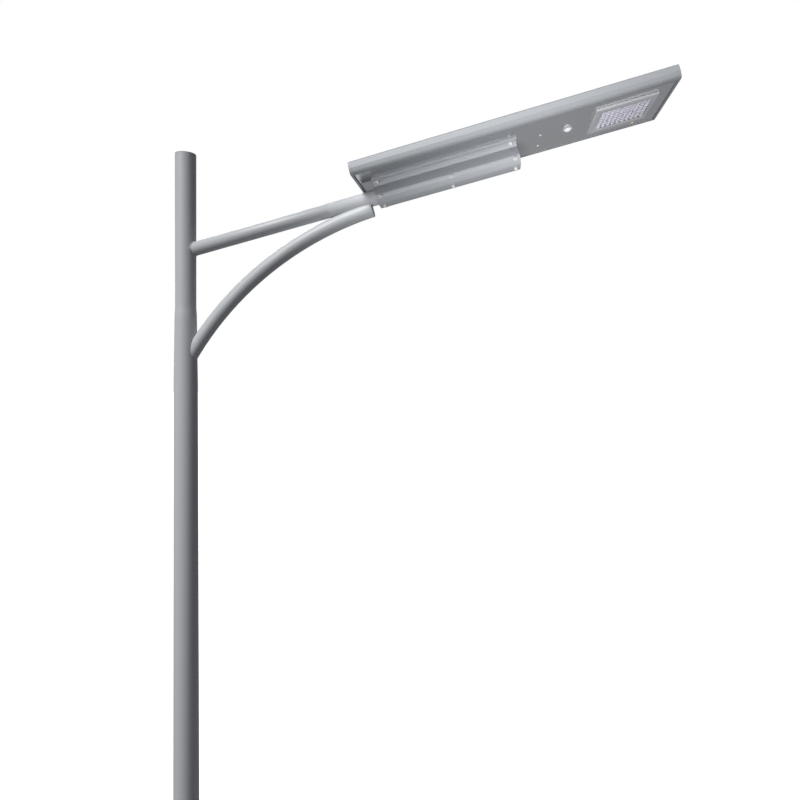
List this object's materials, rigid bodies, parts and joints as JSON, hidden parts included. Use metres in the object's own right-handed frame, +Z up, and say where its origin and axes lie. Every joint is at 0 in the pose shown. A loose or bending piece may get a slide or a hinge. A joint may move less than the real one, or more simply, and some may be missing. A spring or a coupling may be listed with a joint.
{
  "type": "solar street lamp",
  "caption": "Solar street lamp: flanged tapered pole, braced tilted arm, and an all-in-one solar head that slides and rolls on the arm spigot in a clamp socket.",
  "frame": {"origin": "middle of the base flange underside, on the pole axis", "axes": "+Z up along the pole, +X from the pole towards the lamp head, +Y across the head"},
  "size_m": [1.9855, 0.365, 4.1754],
  "materials": {
    "pole_paint": "satin light grey powder coat over galvanised steel",
    "profile_aluminium": "satin anodised extrusion",
    "panel_aluminium": "polished anodised sheet, mirror-like",
    "clamp_aluminium": "satin anodised extrusion with fine drawn lines",
    "fastener_steel": "bright stainless steel",
    "solar_glass": "clear low-iron tempered glass",
    "solar_cells": "dark blue laminated cells with silver busbars",
    "back_sheet": "white coated aluminium tray",
    "rubber_black": "matt black rubber",
    "lens_clear": "clear optical plastic over white LEDs",
    "led_board_white": "white solder mask",
    "board_green": "green solder mask",
    "dome_white": "milky white lens plastic",
    "sleeve_metal": "mill finish",
    "battery_wrap": "blue shrink film",
    "strap_steel": "zinc plated strip",
    "cable_black": "black cable sheath",
    "controller_black": "black potted case",
    "amber_lens": "warm white diffuser"
  },
  "bodies": {
    "pole": {"pole_shaft": "pole_paint", "pole_top_cap": "pole_paint", "base_flange": "pole_paint", "base_gusset_1": "pole_paint", "base_gusset_2": "pole_paint", "base_gusset_3": "pole_paint", "base_gusset_4": "pole_paint", "arm_tube": "pole_paint", "lamp_spigot": "pole_paint", "arm_brace": "pole_paint", "brace_end_cap": "pole_paint"},
    "sleeve": {"socket_sleeve": "sleeve_metal"},
    "head": {"side_profile_near": "profile_aluminium", "side_profile_far": "profile_aluminium", "end_cap_pole_side": "profile_aluminium", "end_cap_lamp_side": "profile_aluminium", "bottom_panel": "panel_aluminium", "clamp_extrusion": "clamp_aluminium", "glass_gasket": "rubber_black", "solar_glass": "solar_glass", "solar_cell_sheet": "solar_cells", "solar_back_tray": "back_sheet", "led_bezel": "panel_aluminium", "led_lens_plate": "lens_clear", "led_board": "led_board_white", "led_heat_sink": "profile_aluminium", "sensor_ring": "dome_white", "sensor_dome": "dome_white", "sensor_board": "board_green", "status_lens": "amber_lens", "battery_pack_near": "battery_wrap", "battery_pack_far": "battery_wrap", "battery_strap_1": "strap_steel", "battery_strap_2": "strap_steel", "charge_controller": "controller_black", "battery_cable": "cable_black", "panel_cable": "cable_black", "led_cable": "cable_black", "clamp_bolt_1": "fastener_steel", "end_cap_screw_1": "fastener_steel", "clamp_bolt_2": "fastener_steel", "end_cap_screw_2": "fastener_steel", "clamp_bolt_3": "fastener_steel", "end_cap_screw_3": "fastener_steel", "clamp_bolt_4": "fastener_steel", "end_cap_screw_4": "fastener_steel", "side_screw_near_1": "fastener_steel", "side_screw_far_1": "fastener_steel", "under_screw_1": "fastener_steel", "side_screw_near_2": "fastener_steel", "side_screw_far_2": "fastener_steel", "under_screw_2": "fastener_steel", "side_screw_near_3": "fastener_steel", "side_screw_far_3": "fastener_steel", "under_screw_3": "fastener_steel", "controller_screw_1": "fastener_steel", "controller_screw_2": "fastener_steel"}
  },
  "joints": [
    {"name": "head_slide", "type": "slide", "parent": "pole", "child": "sleeve", "axis": [0.969, 0, 0.247], "range_m": [0, 0.08]},
    {"name": "head_roll", "type": "hinge", "parent": "sleeve", "child": "head", "pos_m": [1.05332, 0, 3.88149], "axis": [0.969, 0, 0.247], "range_deg": [-15, 15]}
  ]
}
